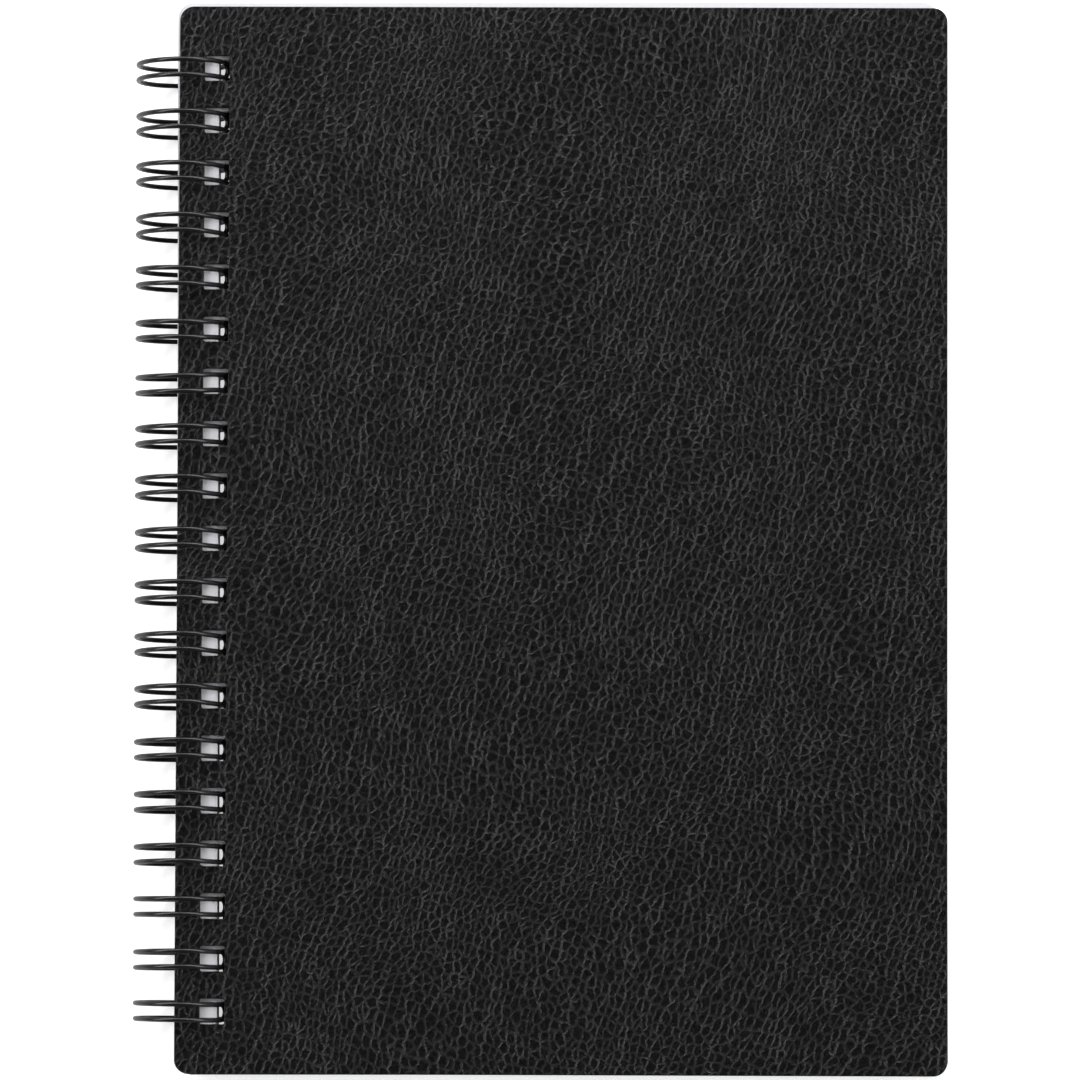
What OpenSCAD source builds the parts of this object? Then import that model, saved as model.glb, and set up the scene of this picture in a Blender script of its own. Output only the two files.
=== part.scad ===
// Side-bound notebook on a twin-loop wire, lying flat with its front cover up.
// X runs from the spine to the fore edge, Y from the tail to the head, Z up.
// The origin is under the middle of the whole notebook, on the table that the rings touch.

/* [Covers] */
// Width of a cover, from its spine edge to its fore edge
cover_w = 124.5; // [90:0.5:160]
// Height of a cover, from its tail to its head
cover_h = 172.5; // [120:0.5:220]
// Thickness of one leatherette board
cover_t = 1.2; // [0.8:0.1:2]
// Radius of the corners of the boards and sheets
corner_r = 2.3; // [1:0.1:5]

/* [Sheets] */
// Thickness of the whole stack of sheets
sheets_t = 5.5; // [4:0.5:8]
// How far the sheets stand out past the covers at the head
sheets_past_head = 1.2; // [0:0.1:2]
// How far the sheets stop short of the covers at the tail
sheets_short_tail = 0.8; // [0:0.1:2]
// How far the sheets stop short of the covers at the fore edge
sheets_short_fore = 1.5; // [0:0.1:3]

/* [Punched holes] */
// Step from one hole to the next, three to the inch
hole_pitch = 8.467; // [8.467:0.001:12.7]
// Width of a hole, across the spine
hole_w = 4; // [3.8:0.1:4.6]
// Height of a hole, along the spine
hole_h = 4.1; // [3.7:0.1:4.8]
// Board left between a cover's spine edge and its holes
cover_margin = 4.05; // [3.5:0.05:5]
// Paper left between the sheets' spine edge and their holes
sheet_margin = 6.55; // [4.5:0.05:7]
// Least distance from the covers' head or tail to the middle of the last hole
end_margin = 9.5; // [7:0.5:12]

/* [Binding wire] */
// Diameter of the coated wire
wire_d = 0.8; // [0.6:0.05:1]
// How far the covers' spine edges reach past the middle of the rings
spine_past_ring = 0.5; // [0:0.1:0.8]
// Angle above the level at which a finger leaves the round of its ring
finger_leave_a = 30; // [26:1:34]
// Length of the straight end of a finger, up to its hairpin bend
finger_end_l = 0.9; // [0.6:0.1:1.4]
// Angle of the ring's end at its root, where the wire turns to the next ring
root_a = -2; // [-6:1:0]

/* [Clearances] */
// Air between a cover and the sheets
leaf_gap = 0.05; // [0.02:0.01:0.2]
// Least gap between the rings and a cover's holes while the cover swings
swing_play = 0.3; // [0.1:0.05:0.4]
// Gap between the two spine edges when the front cover lies opened flat
open_gap = 0.4; // [0.2:0.1:0.6]
// Gap between the rings and the holes of the sheets that hang on them
hang_play = 0.1; // [0.05:0.05:0.3]
// Gap between a ring's wires and the side of a hole
side_play = 0.4; // [0.3:0.05:0.6]
// Gap around the wire where it runs between two sheets
nest_play = 0.1; // [0.05:0.05:0.2]

/* [Hidden] */

// Overshoot of a cut past the face that it opens
cut_over = 1;
// Smoothness of corners, of the wire's section and of the rings
corner_fn = 48;
wire_fn = 24;
ring_fn = 96;

wire_r = wire_d / 2;

// Where two stretches of wire meet: the ball over the joint, and the gap that it bridges
joint_r = wire_r * 1.01;
joint_gap = 0.01;

// The stack: half the sheets, then a gap, then a board
sheets_half = sheets_t / 2;
cover_in = sheets_half + leaf_gap;
cover_out = cover_in + cover_t;

// The covers swing about a line a little to the spine side of the rings' middle
hinge_back = spine_past_ring + open_gap / 2;
// A hole's outer corner swings on this radius, and the ring clears it all the way round
swing_r = norm([cover_margin + open_gap / 2, cover_out]);
ring_r = swing_r + hinge_back + swing_play + wire_r;
ring_out = ring_r + wire_r;

// The sheets lie pushed away from the spine, their holes against the inside of the rings
sheet_hole_x = sqrt(pow(ring_r - wire_r, 2) - pow(sheets_half, 2)) - hang_play;
sheet_spine_x = sheet_hole_x - sheet_margin;
cover_spine_x = -spine_past_ring;
cover_fore_x = cover_spine_x + cover_w;
cover_hole_x = cover_spine_x + cover_margin;
sheet_fore_x = cover_fore_x - sheets_short_fore;

// The row of holes is centred between head and tail
hole_count = 1 + floor((cover_h - 2 * end_margin) / hole_pitch);
row_l = (hole_count - 1) * hole_pitch;

// Each ring has two wires, which end in a hairpin at one end and turn apart at the other
leg_half = hole_h / 2 - side_play - wire_r;
bend_r = hole_h / 2 - leg_half;
run_l = hole_pitch - hole_h;

// The rings' middle, seen from the origin
ring_pos = [
    (ring_out - cover_fore_x) / 2,
    -sheets_past_head / 2,
    ring_out
];

// Builds its children once at each hole of the row
module at_holes() {
    for (i = [0 : hole_count - 1])
        translate([0, i * hole_pitch - row_l / 2, 0])
            children();
}

// A leaf or stack of leaves with round corners and its row of square holes.
// low and high are its lower spine corner and its upper fore corner in plan.
module punched_leaf(low, high, hole_x, z, t) {
    size = high - low;
    difference() {
        translate([low.x, low.y, z])
            linear_extrude(t)
                round_rectangle(size);
        at_holes()
            translate([hole_x, -hole_h / 2, z - cut_over])
                cube([hole_w, hole_h, t + 2 * cut_over]);
    }
}

module round_rectangle(size) {
    translate([corner_r, 0])
        square([size.x - 2 * corner_r, size.y]);
    translate([0, corner_r])
        square([size.x, size.y - 2 * corner_r]);
    for (x = [corner_r, size.x - corner_r])
        for (y = [corner_r, size.y - corner_r])
            translate([x, y])
                circle(corner_r, $fn = corner_fn);
}

// A board whose lower face is at height z
module board(z) {
    punched_leaf(
        [cover_spine_x, -cover_h / 2],
        [cover_fore_x, cover_h / 2],
        cover_hole_x, z, cover_t
    );
}

// Part of a wire ring of radius r in the XY plane, from one angle to another
module wire_arc(r, from_a, to_a, fn) {
    rotate([0, 0, from_a])
        rotate_extrude(angle = to_a - from_a, $fn = fn)
            translate([r, 0])
                circle(wire_r, $fn = wire_fn);
}

// Turns what is drawn in the XY plane up into the YZ plane
module into_yz() {
    rotate([90, 0, 90])
        children();
}

// The round of a ring, from the straight end of its finger round to its root
module ring_leg() {
    rotate([90, 0, 0])
        wire_arc(ring_r, finger_leave_a, 360 + root_a, ring_fn);
}

// A straight length of wire along Z, with a ball where each end meets the next stretch.
// It stops a hair short of both, and the balls are a hair proud, so that no surfaces only touch.
module straight_wire(l) {
    translate([0, 0, joint_gap])
        cylinder(r = wire_r, h = l - 2 * joint_gap, $fn = wire_fn);
    for (z = [0, l])
        translate([0, 0, z])
            sphere(joint_r, $fn = wire_fn);
}

// The straight end of a finger: two wires joined by a hairpin bend
module finger_end() {
    translate([ring_r * cos(finger_leave_a), 0, ring_r * sin(finger_leave_a)])
        rotate([0, 180 - finger_leave_a, 0]) {
            for (side = [-1, 1])
                translate([0, side * leg_half, 0])
                    straight_wire(finger_end_l);
            translate([0, 0, finger_end_l])
                into_yz()
                    wire_arc(leg_half, 0, 180, wire_fn);
        }
}

// Puts its children at a ring's root, with Z along the wire
module at_root() {
    translate([ring_r * cos(root_a), 0, ring_r * sin(root_a)])
        rotate([0, -root_a, 0])
            children();
}

// A quarter bend from a ring's leg, where Z points along the wire, over towards +Y
module root_bend() {
    translate([0, bend_r, 0])
        into_yz()
            wire_arc(bend_r, 90, 180 - asin(joint_gap / bend_r), wire_fn);
    sphere(joint_r, $fn = wire_fn);
}

// The wire from one ring's root to the next: a bend, a run along the spine and a bend back
module root_run() {
    at_root() {
        translate([0, leg_half, 0])
            root_bend();
        translate([0, hole_h / 2, bend_r])
            rotate([-90, 0, 0])
                straight_wire(run_l);
        translate([0, hole_pitch - leg_half, 0])
            mirror([0, 1, 0])
                root_bend();
    }
}

module front_cover() {
    color("#2b2b2d")
        translate(ring_pos)
            board(cover_in);
}

module back_cover() {
    color("#2b2b2d")
        translate(ring_pos)
            board(-cover_out);
}

// All the sheets as one stack. Two of them part around the wire that runs from ring to ring.
module page_block() {
    color("#f1f0f6")
        translate(ring_pos)
            difference() {
                punched_leaf(
                    [sheet_spine_x, -cover_h / 2 + sheets_short_tail],
                    [sheet_fore_x, cover_h / 2 + sheets_past_head],
                    sheet_hole_x, -sheets_half, sheets_t
                );
                at_root()
                    translate([0, -row_l / 2, bend_r])
                        rotate([-90, 0, 0])
                            cylinder(r = wire_r + nest_play, h = row_l, $fn = wire_fn);
            }
}

// One wire from end to end: out along each ring, round its hairpin, back and on to the next
module binding_wire() {
    color("#1b1b1d")
        translate(ring_pos)
            union() {
                at_holes() {
                    for (side = [-1, 1])
                        translate([0, side * leg_half, 0])
                            ring_leg();
                    finger_end();
                }
                for (i = [0 : hole_count - 2])
                    translate([0, i * hole_pitch - row_l / 2, 0])
                        root_run();
            }
}

back_cover();
page_block();
binding_wire();
front_cover();
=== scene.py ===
# %% [markdown]
# # A notebook bound on a twin-loop wire
#
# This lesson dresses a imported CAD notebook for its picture. The CAD says where everything is: two
# boards, a stack of sheets, and one long wire bent into nineteen double loops. Here each of them
# gets the detail that a plain solid lacks: leather grain, soft cut edges, separate sheets of paper,
# and the small differences from loop to loop that any bent wire has.
#
# Everything is in metres and in the CAD's own frame: X from the spine to the fore edge, Y from the
# tail to the head, Z up out of the front cover.

# %% Load the frame
import math
import random

import bmesh
import bpy
from mathutils import Matrix, Vector


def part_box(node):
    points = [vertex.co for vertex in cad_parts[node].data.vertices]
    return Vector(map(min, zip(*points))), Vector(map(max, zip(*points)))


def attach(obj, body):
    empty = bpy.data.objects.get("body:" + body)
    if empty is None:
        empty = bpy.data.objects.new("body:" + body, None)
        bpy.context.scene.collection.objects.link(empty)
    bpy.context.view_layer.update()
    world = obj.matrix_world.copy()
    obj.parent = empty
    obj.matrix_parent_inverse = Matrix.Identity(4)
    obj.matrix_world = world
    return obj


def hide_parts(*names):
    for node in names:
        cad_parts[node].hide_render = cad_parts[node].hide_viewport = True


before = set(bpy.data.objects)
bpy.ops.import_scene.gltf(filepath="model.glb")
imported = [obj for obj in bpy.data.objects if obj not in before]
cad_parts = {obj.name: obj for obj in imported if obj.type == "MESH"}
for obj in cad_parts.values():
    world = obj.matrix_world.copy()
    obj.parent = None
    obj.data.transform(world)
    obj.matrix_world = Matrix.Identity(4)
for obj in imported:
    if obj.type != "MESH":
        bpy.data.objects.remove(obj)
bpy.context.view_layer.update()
MM = 0.001
print("nodes:", sorted(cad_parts))

# %% [markdown]
# ## Sizes that the CAD can't tell
#
# The boxes of the CAD nodes give the outside of each part. What is cut or bent inside them, such as
# the punched holes, is repeated here in millimetres, as the CAD's source has it.

# %% Sizes of holes and wire
# Three holes to the inch
HOLE_PITCH = 8.467 * MM
HOLE_COUNT = 19
HOLE_W = 4 * MM
HOLE_H = 4.1 * MM
COVER_MARGIN = 4.05 * MM
SHEET_MARGIN = 6.55 * MM
CORNER_R = 2.3 * MM
WIRE_R = 0.4 * MM
FINGER_LEAVE = math.radians(30)
FINGER_END = 0.9 * MM
ROOT_ANGLE = math.radians(-2)
SIDE_PLAY = 0.4 * MM
NEST_PLAY = 0.1 * MM

front_low, front_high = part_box("front_cover")
back_low, back_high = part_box("back_cover")
sheets_low, sheets_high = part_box("page_block")
wire_low, wire_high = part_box("binding_wire")

# The wire's box is as high as a ring is wide, so it gives the ring's size and place
ring_out = (wire_high.z - wire_low.z) / 2
ring_r = ring_out - WIRE_R
row_y = (front_low.y + front_high.y) / 2
ring_centre = Vector((wire_low.x + ring_out, row_y, wire_low.z + ring_out))
row_l = (HOLE_COUNT - 1) * HOLE_PITCH
hole_ys = [row_y - row_l / 2 + i * HOLE_PITCH for i in range(HOLE_COUNT)]
leg_half = HOLE_H / 2 - SIDE_PLAY - WIRE_R
bend_r = HOLE_H / 2 - leg_half
run_l = HOLE_PITCH - HOLE_H
print("ring radius, mm:", round(ring_r / MM, 3), "centre:", [round(v / MM, 2) for v in ring_centre])

# %% [markdown]
# ## Helpers for colours, nodes and materials
#
# Colours are written as the sRGB hex values that a paint program shows, and one function turns them
# to the linear values that shaders need. One small function adds a shader node: its sockets take
# either a value or another node's output.

# %% Colours and nodes
def linear(hex_colour):
    """The linear RGBA colour of an sRGB hex value such as #1b1b1d."""
    parts = [int(hex_colour[i:i + 2], 16) / 255 for i in (1, 3, 5)]
    return [p / 12.92 if p <= 0.04045 else ((p + 0.055) / 1.055) ** 2.4 for p in parts] + [1]


def add_node(tree, kind, sockets=None, **settings):
    """Adds a shader node, sets its settings, and sets or links its sockets."""
    made = tree.nodes.new("ShaderNode" + kind)
    for name, value in settings.items():
        setattr(made, name, value)
    for name, value in (sockets or {}).items():
        if isinstance(value, bpy.types.NodeSocket):
            tree.links.new(value, made.inputs[name])
        else:
            made.inputs[name].default_value = value
    return made


def new_material(name):
    """A material with one Principled shader: returns the material, its node tree and the shader."""
    material = bpy.data.materials.new(name)
    material.use_nodes = True
    tree = material.node_tree
    tree.nodes.clear()
    shader = add_node(tree, "BsdfPrincipled")
    add_node(tree, "OutputMaterial", {"Surface": shader.outputs["BSDF"]})
    return material, tree, shader


def millimetres(tree, offset=(0, 0, 0)):
    """The point on the object in millimetres, so that patterns can be given in real sizes."""
    place = add_node(tree, "TexCoord")
    scaled = add_node(
        tree, "VectorMath", {0: place.outputs["Object"], "Scale": 1 / MM}, operation="SCALE"
    )
    moved = add_node(tree, "VectorMath", {0: scaled.outputs[0], 1: offset}, operation="ADD")
    return moved.outputs[0]


print("helpers ready")

# %% [markdown]
# ## Camera
#
# The photograph looks nearly straight down from about a metre, which a long lens does without
# bending the covers' edges. The rings show it: at the head their upper arcs stand clear of their
# lower arcs, and at the tail the two cover each other.

# %% Camera
# The lens and the frame width are in millimetres, the clips in metres
FRAME_WIDTH = 36
CAMERA_PLACE = Vector((7.78, -53.73, 1072.8)) * MM
CAMERA_TURN = [math.radians(a) for a in (2.867, 0.424, 0.040)]
CAMERA_LENS = 219.6
CLIP_NEAR = 0.05
CLIP_FAR = 20

camera_data = bpy.data.cameras.new("photo_camera")
camera_data.lens = CAMERA_LENS
camera_data.sensor_width = FRAME_WIDTH
camera_data.clip_start = CLIP_NEAR
camera_data.clip_end = CLIP_FAR
camera = bpy.data.objects.new("photo_camera", camera_data)
bpy.context.scene.collection.objects.link(camera)
camera.location = CAMERA_PLACE
camera.rotation_euler = CAMERA_TURN
bpy.context.scene.camera = camera
print("camera height, mm:", round(CAMERA_PLACE.z / MM, 1))

# %% [markdown]
# ## Table
#
# A wire-bound notebook doesn't lie flat on its back: it rests on its rings along the spine and on
# the back board's fore edge. The table is tilted a little, so that it touches both, and the CAD
# stays square.
#
# A catalogue picture has a pure white table. Brighter lamps would grey the black cover too, so the
# table glows instead, in full for rays from the camera and a little for rays that a shiny surface
# mirrors. The lamps still draw the notebook's shadow on it.

# %% Table that touches the rings and the fore edge
TABLE_SIZE = 1.6
TABLE_CELLS = 8

rest = Vector((back_high.x, 0, back_low.z))
to_ring = ring_centre - rest
rise = math.atan2(to_ring.z, -to_ring.x)
reach = math.hypot(to_ring.x, to_ring.z)
table_slope = math.asin(ring_out / reach) - rise

bm = bmesh.new()
bmesh.ops.create_grid(
    bm, x_segments=TABLE_CELLS, y_segments=TABLE_CELLS, size=TABLE_SIZE / 2
)
bmesh.ops.rotate(bm, cent=(0, 0, 0), matrix=Matrix.Rotation(-table_slope, 3, "Y"), verts=bm.verts)
bmesh.ops.translate(bm, vec=rest, verts=bm.verts)
table_mesh = bpy.data.meshes.new("table")
bm.to_mesh(table_mesh)
bm.free()
table = bpy.data.objects.new("table", table_mesh)
bpy.context.scene.collection.objects.link(table)
print("table slope, degrees:", round(math.degrees(table_slope), 3))

# %% Table material
TABLE_COLOUR = "#f2f2f3"
# The glow's strength for rays from the camera, and for rays that a shiny surface mirrors
TABLE_GLOW = 0.66
MIRRORED_GLOW = 0.08


def backdrop_glow(tree, camera_glow):
    """The strength of a backdrop's glow: camera_glow for the camera, a little for mirrored rays."""
    path = add_node(tree, "LightPath")
    mirrored = add_node(
        tree, "Math",
        {0: path.outputs["Is Glossy Ray"], 1: path.outputs["Is Transmission Ray"]},
        operation="ADD", use_clamp=True,
    )
    mirrored = add_node(
        tree, "Math", {0: mirrored.outputs[0], 1: MIRRORED_GLOW}, operation="MULTIPLY"
    )
    glow = add_node(
        tree, "Math",
        {0: path.outputs["Is Camera Ray"], 1: camera_glow, 2: mirrored.outputs[0]},
        operation="MULTIPLY_ADD",
    )
    return glow.outputs[0]


material = bpy.data.materials.new("matt_white_table")
material.use_nodes = True
tree = material.node_tree
tree.nodes.clear()
matt = add_node(tree, "BsdfDiffuse", {"Color": linear(TABLE_COLOUR)})
glow = backdrop_glow(tree, TABLE_GLOW)
shine = add_node(tree, "Emission", {"Color": (1, 1, 1, 1), "Strength": glow})
both = add_node(tree, "AddShader", {0: matt.outputs[0], 1: shine.outputs[0]})
add_node(tree, "OutputMaterial", {"Surface": both.outputs[0]})
table.data.materials.append(material)
print("table glow:", TABLE_GLOW)

# %% [markdown]
# ## Light
#
# The studio is pale at eye level and dark straight above, where the camera hangs. The flat of the
# black cover mirrors that dark ceiling and stays black. Two long panels hang over the left and right
# sides, nearly half a right angle from the camera's line. The flanks of the creases that run up the
# cover catch them, and so does each wire, a little to either side of its ring's top. A third, weak
# panel lights the sheets at the head. The camera itself sees a white room behind the table.

# %% Room and panels
# The room's level at the horizon and overhead, and the share of Z where each begins and ends
HORIZON_LEVEL = 0.4
CEILING_LEVEL = 0.08
HORIZON_END = 0.05
CEILING_START = 0.50
# Name, place, length along the table and width in metres, power in watts
PANELS = [
    ("spine_panel", (-0.86, 0.50, 0.93), 2.4, 0.40, 15.4),
    ("fore_panel", (0.88, 0.50, 0.90), 2.4, 0.40, 14.0),
    ("head_panel", (0.0, 1.20, 0.75), 1.3, 0.4, 6.0),
]

world = bpy.data.worlds.new("studio")
bpy.context.scene.world = world
world.use_nodes = True
tree = world.node_tree
tree.nodes.clear()
direction = add_node(tree, "TexCoord")
height = add_node(tree, "SeparateXYZ", {0: direction.outputs["Generated"]})
level = add_node(
    tree, "MapRange",
    {
        "Value": height.outputs["Z"],
        "From Min": HORIZON_END, "From Max": CEILING_START,
        "To Min": HORIZON_LEVEL, "To Max": CEILING_LEVEL,
    },
    interpolation_type="SMOOTHSTEP",
)
level = add_node(
    tree, "Math", {0: level.outputs[0], 1: backdrop_glow(tree, 1)}, operation="MAXIMUM"
)
room = add_node(tree, "Background", {"Color": (1, 1, 1, 1), "Strength": level.outputs[0]})
add_node(tree, "OutputWorld", {"Surface": room.outputs[0]})

for name, place, length, width, power in PANELS:
    light = bpy.data.lights.new(name, "AREA")
    light.shape = "RECTANGLE"
    light.size = length
    light.size_y = width
    light.energy = power
    panel = bpy.data.objects.new(name, light)
    bpy.context.scene.collection.objects.link(panel)
    panel.location = place
    panel.rotation_euler = (-Vector(place)).to_track_quat("-Z", "Y").to_euler()
    panel.visible_camera = False
print("panels:", [p[0] for p in PANELS])

# %% [markdown]
# ## Leatherette
#
# The cover's skin is leatherette: a black plastic skin on cloth, pressed between hot rollers that
# carry the grain of a hide. Its pebbles are one to two millimetres across, longer than wide, and
# they follow lines that wander as the folds of a skin do. A Voronoi pattern's distance to its cell
# edges gives the creases between the pebbles, and a second Voronoi gives each pebble's middle. Noise
# bends the place where both are read, slowly for the wandering and quickly for the ragged pebbles.

# %% The place where the grain is read
# Millimetres: a pebble's width and length, and the step and reach of the noises that bend its row
PEBBLE_W = 1.25
PEBBLE_L = 1.75
WANDER_STEP = 38
WANDER_REACH = 8
RAGGED_STEP = 1.3
RAGGED_REACH = 0.85
GRAIN_LEAN = math.radians(17)


def grain_place(tree, offset):
    """The place on the skin in millimetres, bent by two noises and turned along the grain."""
    place = millimetres(tree, offset)
    wander = add_node(
        tree, "TexNoise", {"Vector": place, "Scale": 1 / WANDER_STEP, "Detail": 1},
        noise_dimensions="2D",
    )
    wander = add_node(
        tree, "VectorMath",
        {0: wander.outputs["Color"], 1: (WANDER_REACH, WANDER_REACH, 0), 2: place},
        operation="MULTIPLY_ADD",
    )
    ragged = add_node(
        tree, "TexNoise", {"Vector": place, "Scale": 1 / RAGGED_STEP, "Detail": 3},
        noise_dimensions="2D",
    )
    bent = add_node(
        tree, "VectorMath",
        {0: ragged.outputs["Color"], 1: (RAGGED_REACH, RAGGED_REACH, 0), 2: wander.outputs[0]},
        operation="MULTIPLY_ADD",
    )
    along = add_node(
        tree, "VectorRotate", {"Vector": bent.outputs[0], "Angle": GRAIN_LEAN},
        rotation_type="Z_AXIS",
    )
    return along.outputs[0]


print("pebbles, mm:", PEBBLE_W, "x", PEBBLE_L)

# %% Creases between the pebbles
# Half a crease's width, as a share of a pebble, and how far the pebbles stray from a grid
CREASE_W = 0.22
PEBBLE_SCATTER = 0.82


def pebbles(tree, along):
    """How deep in a crease a point is, 0 to 1, and the way to it from its pebble's middle."""
    cells = add_node(
        tree, "VectorMath", {0: along, 1: (1 / PEBBLE_W, 1 / PEBBLE_L, 0)}, operation="MULTIPLY"
    )
    read = {"Vector": cells.outputs[0], "Scale": 1, "Randomness": PEBBLE_SCATTER}
    edge = add_node(
        tree, "TexVoronoi", read, feature="DISTANCE_TO_EDGE", voronoi_dimensions="2D"
    )
    middle = add_node(tree, "TexVoronoi", read, feature="F1", voronoi_dimensions="2D")
    crease = add_node(
        tree, "MapRange",
        {"Value": edge.outputs["Distance"], "From Max": CREASE_W, "To Min": 1, "To Max": 0},
        interpolation_type="SMOOTHSTEP",
    )
    aside = add_node(
        tree, "VectorMath", {0: cells.outputs[0], 1: middle.outputs["Position"]},
        operation="SUBTRACT",
    )
    return crease.outputs[0], aside.outputs[0]


print("crease width, share of a pebble:", 2 * CREASE_W)

# %% [markdown]
# Not all creases are alike. Those that run up the cover are deeper than those across it: the way from
# a pebble's middle to the point tells which flank the point is on. A noise stretched along the grain
# ranks the creases once more, so that some join into long rows.

# %% Ranks of the creases
# The share of X in the way from a pebble's middle, from where a crease starts to count as running up
# the cover to where it fully does, and the rank of one that runs across
UPRIGHT_FROM = 0.45
UPRIGHT_FULL = 0.85
ACROSS_RANK = 0.4
# The long rows: their size in millimetres, the noise's range that draws them, and the least rank
STREAK_W = 1.3
STREAK_L = 9
STREAK_FROM = 0.42
STREAK_FULL = 0.66
STREAK_LEAST = 0.36


def crease_rank(tree, along, aside):
    """How the crease at a point ranks among the others, 0 to 1."""
    aside = add_node(tree, "VectorMath", {0: aside}, operation="NORMALIZE")
    aside = add_node(tree, "VectorMath", {0: aside.outputs[0]}, operation="ABSOLUTE")
    aside = add_node(tree, "SeparateXYZ", {0: aside.outputs[0]})
    upright = add_node(
        tree, "MapRange",
        {"Value": aside.outputs["X"], "From Min": UPRIGHT_FROM, "From Max": UPRIGHT_FULL},
        interpolation_type="SMOOTHSTEP",
    )
    rank = add_node(
        tree, "Math", {0: upright.outputs[0], 1: 1 - ACROSS_RANK, 2: ACROSS_RANK},
        operation="MULTIPLY_ADD",
    )
    rows = add_node(
        tree, "VectorMath", {0: along, 1: (1 / STREAK_W, 1 / STREAK_L, 0)}, operation="MULTIPLY"
    )
    streak = add_node(
        tree, "TexNoise", {"Vector": rows.outputs[0], "Scale": 1, "Detail": 1},
        noise_dimensions="2D",
    )
    streak = add_node(
        tree, "MapRange",
        {
            "Value": streak.outputs["Fac"],
            "From Min": STREAK_FROM, "From Max": STREAK_FULL, "To Min": STREAK_LEAST,
        },
    )
    rank = add_node(
        tree, "Math", {0: rank.outputs[0], 1: streak.outputs[0]}, operation="MULTIPLY"
    )
    return rank.outputs[0]


print("long rows, mm:", STREAK_W, "x", STREAK_L)

# %% [markdown]
# A last, fine noise wrinkles the tops of the pebbles. Height and tone then come from the same
# patterns: the pits between the wrinkles are painted darkest, as painted shade, and the creases are
# painted somewhat paler, as a painted highlight where their flanks would catch the side panels; the
# best ranked creases get the brightest painted highlight. The finish is satin, and softer than hard
# plastic's.

# %% Depths and tones of the skin
# The wrinkles' size in millimetres, and the noise's range that draws them
WRINKLE_W = 0.36
WRINKLE_L = 0.5
WRINKLE_FROM = 0.32
WRINKLE_FULL = 0.68
# The depth of the best ranked crease, and as shares of it the lowest ranked and the wrinkles
CREASE_DEPTH = 0.08 * MM
LEAST_DEPTH = 0.2
WRINKLE_DEPTH = 0.42
# Painted shade in the pits, the pebbles' own tone, and painted highlights in the creases, dimmer where
# a crease ranks low and brightest where it ranks high
PIT_SHADE_TONE = "#030304"
PEBBLE_TONE = "#141415"
DIM_CREASE_HIGHLIGHT = "#1c1c1d"
BRIGHT_CREASE_HIGHLIGHT = "#373738"
SKIN_ROUGHNESS = 0.28
SKIN_IOR = 1.5
SKIN_SHINE = 0.3
print("deepest crease, mm:", CREASE_DEPTH / MM)

# %% Leatherette material
# Where on the roll each cover's skin is cut, in millimetres, so that the two don't match
FRONT_ON_ROLL = (0, 0, 0)
BACK_ON_ROLL = (310, 170, 0)


def leatherette(name, offset):
    """Embossed black leatherette, cut from the roll at offset millimetres."""
    material, tree, shader = new_material(name)
    along = grain_place(tree, offset)
    crease, aside = pebbles(tree, along)
    rank = crease_rank(tree, along, aside)
    wrinkles = add_node(
        tree, "VectorMath", {0: along, 1: (1 / WRINKLE_W, 1 / WRINKLE_L, 0)},
        operation="MULTIPLY",
    )
    wrinkle = add_node(
        tree, "TexNoise", {"Vector": wrinkles.outputs[0], "Scale": 1, "Detail": 2},
        noise_dimensions="2D",
    )
    wrinkle = add_node(
        tree, "MapRange",
        {"Value": wrinkle.outputs["Fac"], "From Min": WRINKLE_FROM, "From Max": WRINKLE_FULL},
    )
    depth = add_node(
        tree, "Math", {0: rank, 1: 1 - LEAST_DEPTH, 2: LEAST_DEPTH}, operation="MULTIPLY_ADD"
    )
    depth = add_node(tree, "Math", {0: crease, 1: depth.outputs[0]}, operation="MULTIPLY")
    height = add_node(
        tree, "Math", {0: wrinkle.outputs[0], 1: WRINKLE_DEPTH}, operation="MULTIPLY"
    )
    height = add_node(
        tree, "Math", {0: height.outputs[0], 1: depth.outputs[0]}, operation="SUBTRACT"
    )
    # Painted shade: the pits between the wrinkles are darker than the pebbles' tops
    pebble_and_pit_shade = add_node(
        tree, "Mix",
        {"Factor": wrinkle.outputs[0], 6: linear(PIT_SHADE_TONE), 7: linear(PEBBLE_TONE)},
        data_type="RGBA",
    )
    # Painted highlight: the creases are paler than the pebbles, brightest where they rank highest
    crease_highlight = add_node(
        tree, "Mix", {"Factor": rank, 6: linear(DIM_CREASE_HIGHLIGHT), 7: linear(BRIGHT_CREASE_HIGHLIGHT)},
        data_type="RGBA",
    )
    tone = add_node(
        tree, "Mix",
        {"Factor": crease, 6: pebble_and_pit_shade.outputs[2], 7: crease_highlight.outputs[2]},
        data_type="RGBA",
    )
    bump = add_node(
        tree, "Bump", {"Strength": 1, "Distance": CREASE_DEPTH, "Height": height.outputs[0]}
    )
    tree.links.new(tone.outputs[2], shader.inputs["Base Color"])
    tree.links.new(bump.outputs[0], shader.inputs["Normal"])
    shader.inputs["Roughness"].default_value = SKIN_ROUGHNESS
    shader.inputs["IOR"].default_value = SKIN_IOR
    shader.inputs["Specular IOR Level"].default_value = SKIN_SHINE
    return material


front_skin = leatherette("embossed_leatherette_front", FRONT_ON_ROLL)
back_skin = leatherette("embossed_leatherette_back", BACK_ON_ROLL)
print("skins:", front_skin.name, back_skin.name)

# %% [markdown]
# ## Cut edge and lining of the boards
#
# Each cover is greyboard dyed black through, with leatherette outside and black paper inside. It is
# die-cut after the skins are on, so the edge shows the board's pressed fibres, paler than the skin.
# One fibre is a few hundredths of a millimetre across, too fine to show at the picture's six pixels a
# millimetre, so a fleck is drawn as wide as a tuft of them.

# %% Board materials
FIBRE_SHINE = 0.3


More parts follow.
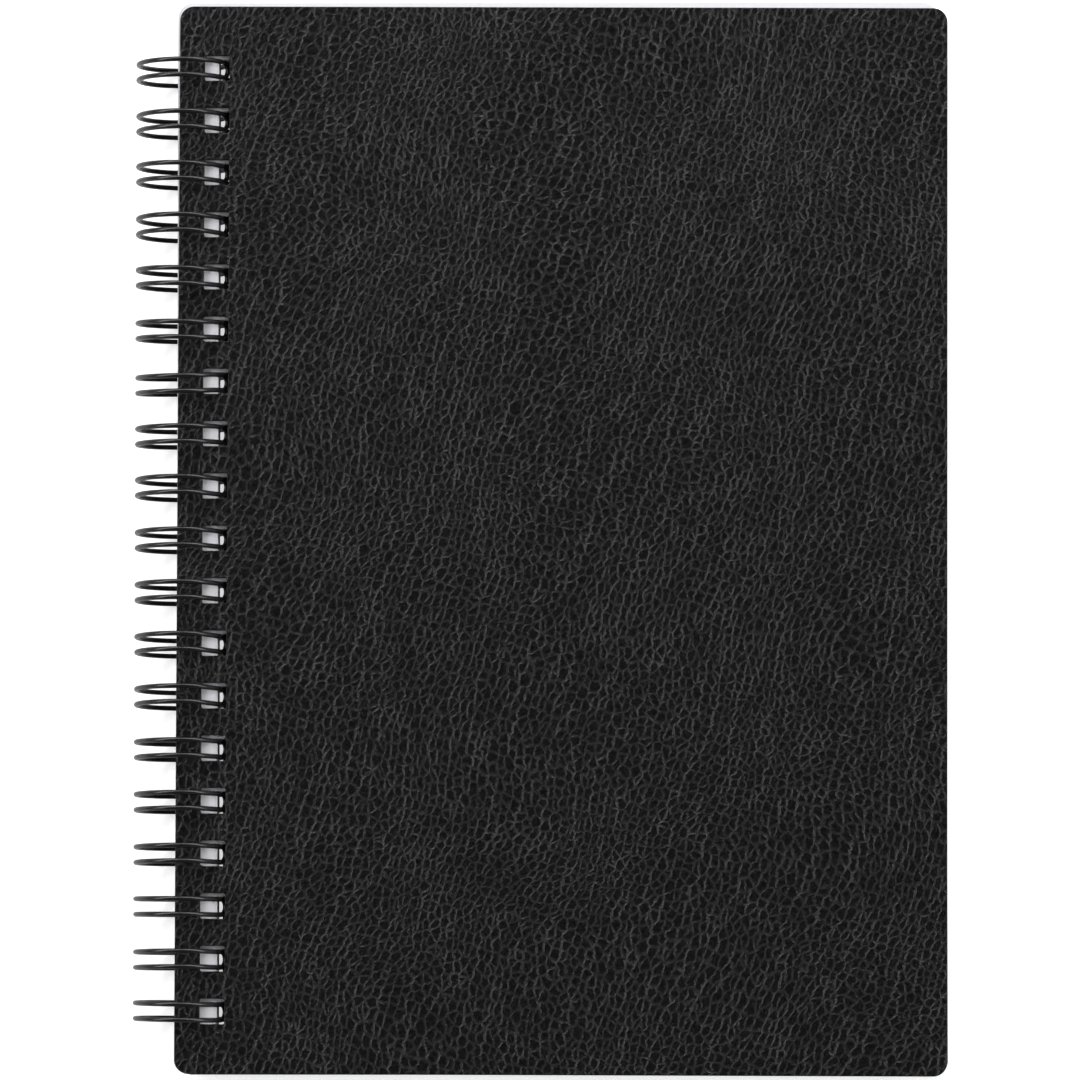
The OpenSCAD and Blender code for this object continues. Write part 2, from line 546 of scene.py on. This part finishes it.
def fibre_paper(name, colour, pale_colour, step, roughness, depth):
    """Pressed or rolled fibre with a fine tone and bump; step is the size of its flecks in mm."""
    material, tree, shader = new_material(name)
    place = millimetres(tree)
    fleck = add_node(
        tree, "TexNoise", {"Vector": place, "Scale": 1 / step, "Detail": 3}, noise_dimensions="3D"
    )
    tone = add_node(
        tree, "Mix", {"Factor": fleck.outputs["Fac"], 6: linear(colour), 7: linear(pale_colour)},
        data_type="RGBA",
    )
    bump = add_node(
        tree, "Bump", {"Strength": 1, "Distance": depth, "Height": fleck.outputs["Fac"]}
    )
    tree.links.new(tone.outputs[2], shader.inputs["Base Color"])
    tree.links.new(bump.outputs[0], shader.inputs["Normal"])
    shader.inputs["Roughness"].default_value = roughness
    shader.inputs["Specular IOR Level"].default_value = FIBRE_SHINE
    return material


# A cut edge is rough and matt, so it looks paler than its dye
cut_board = fibre_paper(
    "die_cut_black_board", "#2e2e30", "#5c5c5e", step=0.25, roughness=0.9, depth=0.03 * MM
)
# Lining paper was rolled smooth, so it keeps a faint sheen
lining = fibre_paper(
    "black_lining_paper", "#1a1a1c", "#26262a", step=0.3, roughness=0.75, depth=0.01 * MM
)
print("board materials:", cut_board.name, lining.name)

# %% [markdown]
# ## Boards
#
# A board is a flat leaf with round corners and a row of punched holes. The leaf starts as one face.
# A vertex bevel rounds its corners, and planes cut it along the edges of the holes, so that the
# holes are whole faces to delete. The leaf is then extruded to its thickness, the holes' upright
# edges get the small radius of the punch, and a last bevel softens every rim, as a die leaves it.

# %% Flat leaf
CORNER_STEPS = 12


def cut(bm, point, normal):
    """Cuts every face where a plane crosses it."""
    everything = bm.verts[:] + bm.edges[:] + bm.faces[:]
    bmesh.ops.bisect_plane(bm, geom=everything, plane_co=point, plane_no=normal)


def flat_leaf(low, high, hole_x, slot=None):
    """A flat leaf with round corners and its holes. slot gives the two X of a slot through the row."""
    bm = bmesh.new()
    # A grid's size is half its width, so this is a square of one by one
    bmesh.ops.create_grid(bm, x_segments=1, y_segments=1, size=0.5)
    bmesh.ops.scale(bm, vec=(high.x - low.x, high.y - low.y, 1), verts=bm.verts)
    middle = (low + high) / 2
    bmesh.ops.translate(bm, vec=(middle.x, middle.y, 0), verts=bm.verts)
    bmesh.ops.bevel(
        bm, geom=bm.verts[:], offset=CORNER_R, affect="VERTICES", segments=CORNER_STEPS,
        profile=0.5, material=-1,
    )
    across = (1, 0, 0)
    upward = (0, 1, 0)
    for x in (hole_x, hole_x + HOLE_W, *(slot or ())):
        cut(bm, (x, 0, 0), across)
    for y in hole_ys:
        cut(bm, (0, y - HOLE_H / 2, 0), upward)
        cut(bm, (0, y + HOLE_H / 2, 0), upward)

    def gone(face):
        centre = face.calc_center_median()
        in_row = any(abs(centre.y - y) < HOLE_H / 2 for y in hole_ys)
        in_hole = in_row and hole_x < centre.x < hole_x + HOLE_W
        in_span = hole_ys[0] < centre.y < hole_ys[-1]
        in_slot = slot is not None and in_span and slot[0] < centre.x < slot[1]
        return in_hole or in_slot

    bmesh.ops.delete(bm, geom=[f for f in bm.faces if gone(f)], context="FACES")
    return bm


print("hole rows from", round(hole_ys[0] / MM, 2), "to", round(hole_ys[-1] / MM, 2))

# %% Thickness and soft edges
# Two points closer than this count as one
NEAR = 0.001 * MM


def thicken(bm, thickness):
    """Extrudes a flat leaf upwards to its thickness and turns its faces outwards."""
    grown = bmesh.ops.extrude_face_region(bm, geom=bm.faces[:])["geom"]
    rising = [v for v in grown if isinstance(v, bmesh.types.BMVert)]
    bmesh.ops.translate(bm, vec=(0, 0, thickness), verts=rising)
    bmesh.ops.recalc_face_normals(bm, faces=bm.faces[:])


def soften(bm, chosen, radius, steps):
    """Rounds every edge for which chosen says yes."""
    bmesh.ops.bevel(
        bm, geom=[e for e in bm.edges if chosen(e)], offset=radius, affect="EDGES",
        segments=steps, profile=0.5, material=-1,
    )


print("points are one within, mm:", NEAR / MM)

# %% From a mesh to a piece
def finish_piece(name, bm, body, materials, node):
    """Makes the mesh an object that stands for a CAD node and rides on its body."""
    mesh = bpy.data.meshes.new(name)
    bm.to_mesh(mesh)
    bm.free()
    for material in materials:
        mesh.materials.append(material)
    piece = bpy.data.objects.new(name, mesh)
    bpy.context.scene.collection.objects.link(piece)
    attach(piece, body)
    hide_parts(node)
    triangles = sum(len(p.vertices) - 2 for p in mesh.polygons)
    print(name, "triangles:", triangles)
    return piece


print("bodies to ride on: front_cover, back_cover, sheets_and_wire")

# %% Board
PUNCH_R = 0.35 * MM
PUNCH_STEPS = 3
RIM_R = 0.13 * MM
RIM_STEPS = 2
# Two faces that meet at more than this angle have a sharp edge between them
SHARP = math.radians(50)
# A face whose normal has at least this share of Z counts as the flat of a board or sheet
FLAT = 0.3
# How far the large faces outweigh the small ones when normals are smoothed
FACE_WEIGHT = 100
SKIN, CUT, LINED = range(3)


def board(name, low, high, outside, skin, body, node, turn=0, slip=0, trim=0):
    """One cover. outside is 1 where its skin faces up and -1 where it faces down."""
    hole_x = low.x + COVER_MARGIN
    bm = flat_leaf(low, Vector((high.x - trim, high.y, high.z)), hole_x)
    thicken(bm, high.z - low.z)
    bmesh.ops.translate(bm, vec=(0, 0, low.z), verts=bm.verts)

    def punched(edge):
        a, b = (v.co for v in edge.verts)
        upright = (a - b).xy.length < NEAR
        at_side = min(abs(a.x - hole_x), abs(a.x - hole_x - HOLE_W)) < NEAR
        in_holes = any(abs(abs(a.y - y) - HOLE_H / 2) < NEAR for y in hole_ys)
        return upright and at_side and in_holes

    def rim(edge):
        a, b = (v.co for v in edge.verts)
        return abs(a.z - b.z) < NEAR and edge.calc_face_angle(0) > SHARP

    soften(bm, punched, PUNCH_R, PUNCH_STEPS)
    soften(bm, rim, RIM_R, RIM_STEPS)
    for face in bm.faces:
        face.smooth = True
        facing = face.normal.z * outside
        face.material_index = SKIN if facing > FLAT else LINED if facing < -FLAT else CUT
    for edge in bm.edges:
        edge.smooth = edge.calc_face_angle(0) < SHARP
    pivot = (hole_x + HOLE_W / 2, row_y, 0)
    bmesh.ops.rotate(bm, cent=pivot, matrix=Matrix.Rotation(turn, 3, "Z"), verts=bm.verts)
    bmesh.ops.translate(bm, vec=(0, slip, 0), verts=bm.verts)
    piece = finish_piece(name, bm, body, [skin, cut_board, lining], node)
    level = piece.modifiers.new("level_faces", "WEIGHTED_NORMAL")
    level.weight = FACE_WEIGHT
    level.keep_sharp = True


print("rim radius, mm:", RIM_R / MM)

# %% [markdown]
# The front cover hangs loosely on its rings. In the photograph it has turned by a fraction of a
# degree against the wire and slipped towards the head by the play in its holes.

# %% Both boards
FRONT_TURN = math.radians(-0.15)
FRONT_SLIP = 0.30 * MM
FRONT_TRIM = 0.23 * MM

board(
    "front_board", front_low, front_high, 1, front_skin, "front_cover", "front_cover",
    turn=FRONT_TURN, slip=FRONT_SLIP, trim=FRONT_TRIM,
)
board("back_board", back_low, back_high, -1, back_skin, "back_cover", "back_cover")

# %% [markdown]
# ## Sheets
#
# The stack is fifty-five sheets of writing paper, each a tenth of a millimetre thick. Modelled one
# by one, they give the fine steps at the head and fore edge that no bump can. Two flat leaves are
# patterns: a plain one, and one with a slot for the sheets that part around the wire's runs from
# loop to loop. Each sheet is a copy, pushed a hair out of line, and the whole stack hangs turned by
# a few hundredths of a degree on its rings.

# %% Paper material
# Uncoated paper is matt and faintly blue, with a tooth that only just breaks up the light
paper = fibre_paper(
    "uncoated_writing_paper", "#ecebf1", "#f7f6fa", step=0.8, roughness=0.85, depth=0.008 * MM
)
print("page:", paper.name)

# %% [markdown]
# The guillotine leaves the block's edge in fine lines, because each sheet is pressed a little more
# or less than the next. The edge has its own material: noise that changes fast through the stack and
# hardly at all along it. A single sheet is too fine to show, so a line is two or three sheets thick.

# %% Cut edge of the sheets
# Millimetres: the step of the lines through the stack, and their length along it
LINE_STEP = 0.25
LINE_RUN = 40
LINE_FROM = 0.36
LINE_FULL = 0.62
LINE_DEPTH = 0.03 * MM
SHADED_EDGE = "#c3c2cb"
BRIGHT_EDGE = "#f1f0f6"
EDGE_ROUGHNESS = 0.9

sheet_edge, tree, shader = new_material("guillotined_sheet_edge")
place = millimetres(tree)
layers = add_node(
    tree, "VectorMath", {0: place, 1: (1 / LINE_RUN, 1 / LINE_RUN, 1 / LINE_STEP)},
    operation="MULTIPLY",
)
line = add_node(
    tree, "TexNoise", {"Vector": layers.outputs[0], "Scale": 1, "Detail": 3},
    noise_dimensions="3D",
)
line = add_node(
    tree, "MapRange",
    {"Value": line.outputs["Fac"], "From Min": LINE_FROM, "From Max": LINE_FULL},
)
tone = add_node(
    tree, "Mix", {"Factor": line.outputs[0], 6: linear(SHADED_EDGE), 7: linear(BRIGHT_EDGE)},
    data_type="RGBA",
)
bump = add_node(
    tree, "Bump", {"Strength": 1, "Distance": LINE_DEPTH, "Height": line.outputs[0]}
)
tree.links.new(tone.outputs[2], shader.inputs["Base Color"])
tree.links.new(bump.outputs[0], shader.inputs["Normal"])
shader.inputs["Roughness"].default_value = EDGE_ROUGHNESS
shader.inputs["Specular IOR Level"].default_value = FIBRE_SHINE
print("edge:", sheet_edge.name)

# %% Sheets as patterns
SHEET_COUNT = 55
SHEET_AIR = 0.006 * MM
PAGE, EDGE = range(2)

sheet_hole_x = sheets_low.x + SHEET_MARGIN
sheet_step = (sheets_high.z - sheets_low.z) / SHEET_COUNT
run_x = ring_centre.x + ring_r * math.cos(ROOT_ANGLE) - bend_r * math.sin(ROOT_ANGLE)
run_z = ring_centre.z + ring_r * math.sin(ROOT_ANGLE) + bend_r * math.cos(ROOT_ANGLE)
nest_r = WIRE_R + NEST_PLAY


def sheet_pattern(name, slot):
    """One sheet as a mesh to be copied."""
    bm = flat_leaf(sheets_low, sheets_high, sheet_hole_x, slot)
    thicken(bm, sheet_step - SHEET_AIR)
    for face in bm.faces:
        face.material_index = EDGE if abs(face.normal.z) < FLAT else PAGE
    mesh = bpy.data.meshes.new(name)
    bm.to_mesh(mesh)
    bm.free()
    return mesh


plain_sheet = sheet_pattern("plain_sheet", None)
parted_sheet = sheet_pattern("parted_sheet", (run_x - nest_r, run_x + nest_r))
print("one sheet and its air, mm:", round(sheet_step / MM, 3))

# %% Stack of sheets
STACK_TURN = math.radians(0.06)
STACK_DROP = 0.15 * MM
# How far one sheet strays from the next: its turn, its place across the spine and along it
TURN_SPREAD = math.radians(0.02)
LINE_SPREAD = 0.07 * MM
HEAD_SPREAD = 0.10 * MM
SHEET_SEED = 7

tail_hole = Vector((sheet_hole_x, hole_ys[0], 0))
draw = random.Random(SHEET_SEED)
bm = bmesh.new()
for i in range(SHEET_COUNT):
    z = sheets_low.z + i * sheet_step
    parted = z - nest_r < run_z < z + sheet_step + nest_r
    start = len(bm.verts)
    bm.from_mesh(parted_sheet if parted else plain_sheet)
    bm.verts.ensure_lookup_table()
    added = bm.verts[start:]
    turn = STACK_TURN + draw.uniform(-TURN_SPREAD, TURN_SPREAD)
    bmesh.ops.rotate(bm, cent=tail_hole, matrix=Matrix.Rotation(turn, 3, "Z"), verts=added)
    push = (
        -draw.uniform(0, LINE_SPREAD),
        -STACK_DROP - draw.uniform(0, HEAD_SPREAD),
        z,
    )
    bmesh.ops.translate(bm, vec=push, verts=added)
finish_piece("sheet_stack", bm, "sheets_and_wire", [paper, sheet_edge], "page_block")
for pattern in (plain_sheet, parted_sheet):
    bpy.data.meshes.remove(pattern)

# %% [markdown]
# ## Coated wire
#
# The binding is a steel wire with a black nylon coat, satin and slightly uneven where the coat was
# fused on. It mirrors the panels in soft lines.

# %% Wire material
# Millimetres from one thick place of the coat to the next, and how far the coat rises there
COAT_STEP = 0.7
COAT_RISE = 0.01 * MM
DARK_COAT = "#0d0d0e"
PALE_COAT = "#19191b"
COAT_ROUGHNESS = 0.26
NYLON_IOR = 1.58

coat, tree, shader = new_material("nylon_coated_steel_wire")
place = millimetres(tree)
uneven = add_node(
    tree, "TexNoise", {"Vector": place, "Scale": 1 / COAT_STEP, "Detail": 2},
    noise_dimensions="3D",
)
tone = add_node(
    tree, "Mix",
    {"Factor": uneven.outputs["Fac"], 6: linear(DARK_COAT), 7: linear(PALE_COAT)},
    data_type="RGBA",
)
bump = add_node(
    tree, "Bump", {"Strength": 1, "Distance": COAT_RISE, "Height": uneven.outputs["Fac"]}
)
tree.links.new(tone.outputs[2], shader.inputs["Base Color"])
tree.links.new(bump.outputs[0], shader.inputs["Normal"])
shader.inputs["Roughness"].default_value = COAT_ROUGHNESS
shader.inputs["IOR"].default_value = NYLON_IOR
print("wire coat:", coat.name)

# %% [markdown]
# ## Bent wire
#
# One wire makes all nineteen double loops, and it is built as the bending machine makes it: a round
# section is the cut end, and each bend spins the last section about the bend's own centre. From the
# root the wire goes round the ring, straight along its finger, round a hairpin, back along the
# finger and the ring, and then two quarter bends and a straight run bring it to the next root.

# %% Steps and ways of the bends
SECTION_SIDES = 16
RING_STEPS = 72
HAIRPIN_STEPS = 16
ROOT_STEPS = 6
ACROSS = Vector((0, 1, 0))
ring_sweep = 2 * math.pi + ROOT_ANGLE - FINGER_LEAVE
finger_way = Vector((math.sin(FINGER_LEAVE), 0, -math.cos(FINGER_LEAVE)))
root_way = Vector((-math.sin(ROOT_ANGLE), 0, math.cos(ROOT_ANGLE)))
root_place = ring_centre + ring_r * Vector((math.cos(ROOT_ANGLE), 0, math.sin(ROOT_ANGLE)))
print("ring sweep, degrees:", round(math.degrees(ring_sweep), 1))

# %% Bends and straights
def edges_of(found):
    """The edges in what a bmesh operator gives back."""
    return [g for g in found if isinstance(g, bmesh.types.BMEdge)]


def bend(bm, end, centre, axis, angle, steps):
    """Carries the wire's open end round a bend and returns the new end."""
    found = bmesh.ops.spin(
        bm, geom=end, cent=centre, axis=axis, angle=angle, steps=steps, use_duplicate=False
    )
    return edges_of(found["geom_last"])


def straight(bm, end, way):
    """Carries the wire's open end straight on and returns the new end."""
    found = bmesh.ops.extrude_edge_only(bm, edges=end)["geom"]
    fresh = [g for g in found if isinstance(g, bmesh.types.BMVert)]
    bmesh.ops.translate(bm, vec=way, verts=fresh)
    return [e for e in edges_of(found) if all(v in fresh for v in e.verts)]


print("sides of the section:", SECTION_SIDES)

# %% Double loop and run
def double_loop(bm, end, y):
    """One double loop whose middle is at y: out along one leg, round the hairpin and back."""
    ring_at = Vector((ring_centre.x, y, ring_centre.z))
    end = bend(bm, end, ring_at, ACROSS, ring_sweep, RING_STEPS)
    end = straight(bm, end, finger_way * FINGER_END)
    leave = Vector((math.cos(FINGER_LEAVE), 0, math.sin(FINGER_LEAVE)))
    hairpin = ring_at + ring_r * leave + finger_way * FINGER_END
    end = bend(bm, end, hairpin, finger_way.cross(ACROSS), math.pi, HAIRPIN_STEPS)
    end = straight(bm, end, -finger_way * FINGER_END)
    return bend(bm, end, ring_at, ACROSS, -ring_sweep, RING_STEPS)


def run_to_next(bm, end, y):
    """From the root of the loop at y to the root of the next: a bend, a run and a bend."""
    over = root_way.cross(ACROSS)
    root = Vector((root_place.x, y, root_place.z))
    end = bend(bm, end, root + ACROSS * (HOLE_H / 2), over, math.pi / 2, ROOT_STEPS)
    end = straight(bm, end, ACROSS * run_l)
    down = root + ACROSS * (HOLE_H / 2 + run_l)
    return bend(bm, end, down, over, math.pi / 2, ROOT_STEPS)


print("run between two loops, mm:", round(run_l / MM, 3))

# %% [markdown]
# A bmesh operator slows down as its mesh grows, so one double loop is bent once, with its run to
# the next root, and copied along the spine. Bent wire springs back a little differently in each
# loop: each copy is turned and leant a little about its own root. The section at the root itself
# stays where it is, so that the copies join into one wire.

# %% One stretch of wire, to be copied
def wire_stretch(name, with_run):
    """One double loop about y = 0 as a mesh, with or without its run to the next root."""
    bm = bmesh.new()
    bmesh.ops.create_circle(bm, cap_ends=False, segments=SECTION_SIDES, radius=WIRE_R)
    facing = root_way.to_track_quat("Z", "Y").to_matrix()
    bmesh.ops.rotate(bm, cent=(0, 0, 0), matrix=facing, verts=bm.verts)
    root = Vector((root_place.x, -leg_half, root_place.z))
    bmesh.ops.translate(bm, vec=root, verts=bm.verts)
    end = double_loop(bm, bm.edges[:], 0)
    if with_run:
        run_to_next(bm, end, 0)
    mesh = bpy.data.meshes.new(name)
    bm.to_mesh(mesh)
    bm.free()
    return mesh


looped_run = wire_stretch("looped_run", True)
last_loop = wire_stretch("last_loop", False)
print("one stretch, vertices:", len(looped_run.vertices))

# %% One wire, nineteen double loops
# From the tail to the head: how far each loop's left end is turned towards the head, and how far
# its top leans that way, in hundredths of a millimetre. They follow the photograph, within the play
# of the covers' holes, so that both covers swing clear of the wire.
LOOP_SETS = [
    (23, 2), (-7, 24), (4, 12), (-9, 27), (-8, 27), (-9, 26), (-2, 41), (-3, 39), (-7, 29),
    (-8, 28), (-3, 28), (-18, 6), (-32, -23), (9, -13), (25, -1), (4, 27), (14, 12), (-14, 16),
    (-16, 11),
]
WIRE_RISE = 0.14 * MM
# The lean starts at the root and is full at this share of the way to the left end
LEAN_FULL = 0.25

bm = bmesh.new()
for i, y in enumerate(hole_ys):
    before = len(bm.verts)
    bm.from_mesh(looped_run if i < HOLE_COUNT - 1 else last_loop)
    bm.verts.ensure_lookup_table()
    turn, lean = (hundredths * MM / 100 for hundredths in LOOP_SETS[i])
    for vert in bm.verts[before:]:
        away = max(root_place.x - WIRE_R - vert.co.x, 0) / (2 * ring_r)
        above = (vert.co.z - root_place.z) / ring_r * min(away / LEAN_FULL, 1)
        vert.co.y += turn * away + lean * above
    bmesh.ops.translate(bm, vec=(0, y + WIRE_RISE, 0), verts=bm.verts[before:])
bmesh.ops.remove_doubles(bm, verts=bm.verts[:], dist=NEAR)
bmesh.ops.holes_fill(bm, edges=[e for e in bm.edges if e.is_boundary])
bmesh.ops.recalc_face_normals(bm, faces=bm.faces[:])
for face in bm.faces:
    face.smooth = len(face.verts) == 4
finish_piece("loop_wire", bm, "sheets_and_wire", [coat], "binding_wire")
for stretch in (looped_run, last_loop):
    bpy.data.meshes.remove(stretch)

# %% [markdown]
# ## Carried-over nodes and the end
#
# The CAD's own solids are hidden behind the pieces that stand for them, but they keep their true
# finish, so that they look right if anyone shows them.

for node, material in (
    ("front_cover", front_skin),
    ("back_cover", back_skin),
    ("page_block", paper),
    ("binding_wire", coat),
):
    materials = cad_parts[node].data.materials
    if len(materials):
        materials[0] = material
    else:
        materials.append(material)

bpy.context.scene.view_settings.view_transform = "Standard"
